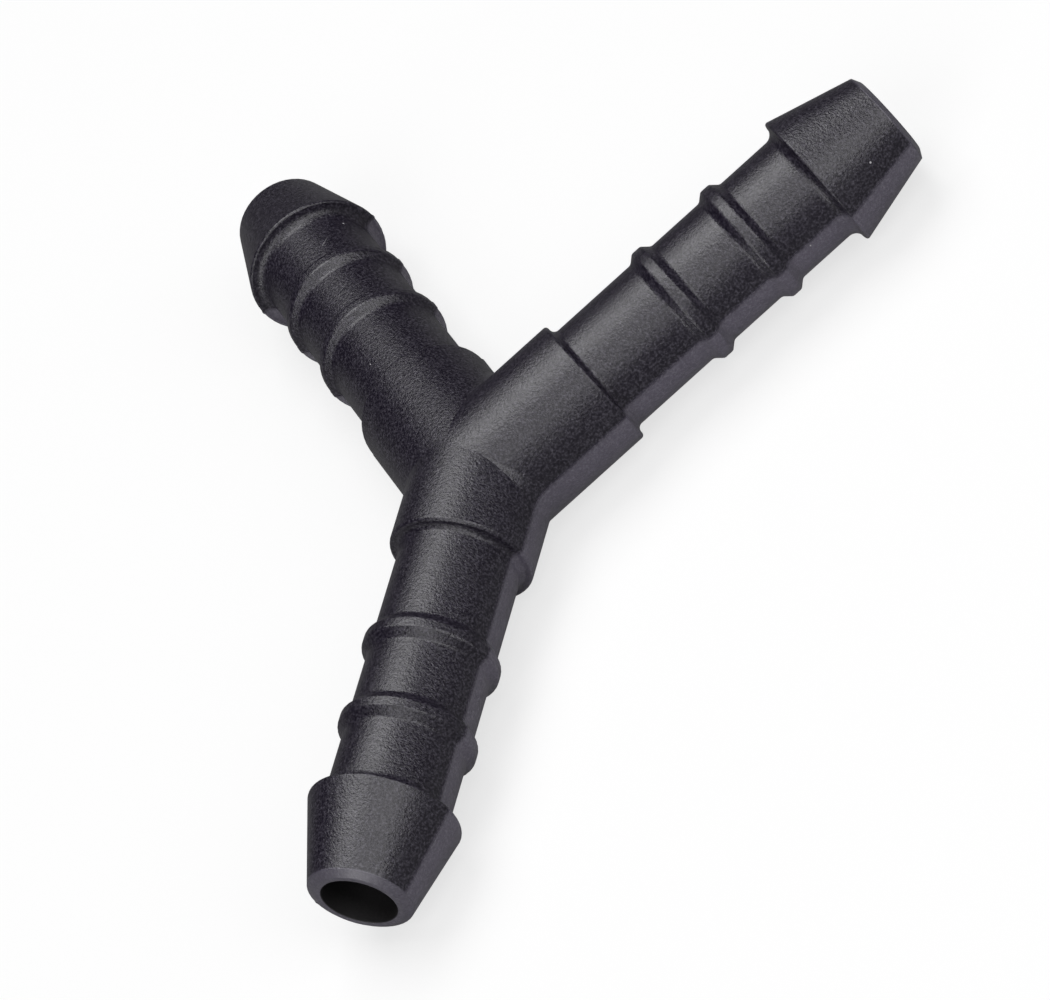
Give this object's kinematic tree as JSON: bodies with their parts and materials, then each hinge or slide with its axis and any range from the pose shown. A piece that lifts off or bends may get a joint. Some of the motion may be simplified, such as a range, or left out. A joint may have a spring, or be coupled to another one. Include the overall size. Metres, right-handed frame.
{
  "type": "tubing y connector",
  "caption": "Black moulded plastic Y connector for flexible tubing, with a ribbed nozzle and end barb on each arm.",
  "frame": {"origin": "the point where the axes of the arms meet", "axes": "-Y out along the stem arm, branch arms either side of +Y in the XY plane, +Z normal to the plane of the arms"},
  "size_m": [0.0532, 0.0588, 0.0098],
  "materials": {
    "body": "fine spark-eroded matte, near black"
  },
  "bodies": {
    "root": {"y_connector": "body"}
  },
  "joints": []
}
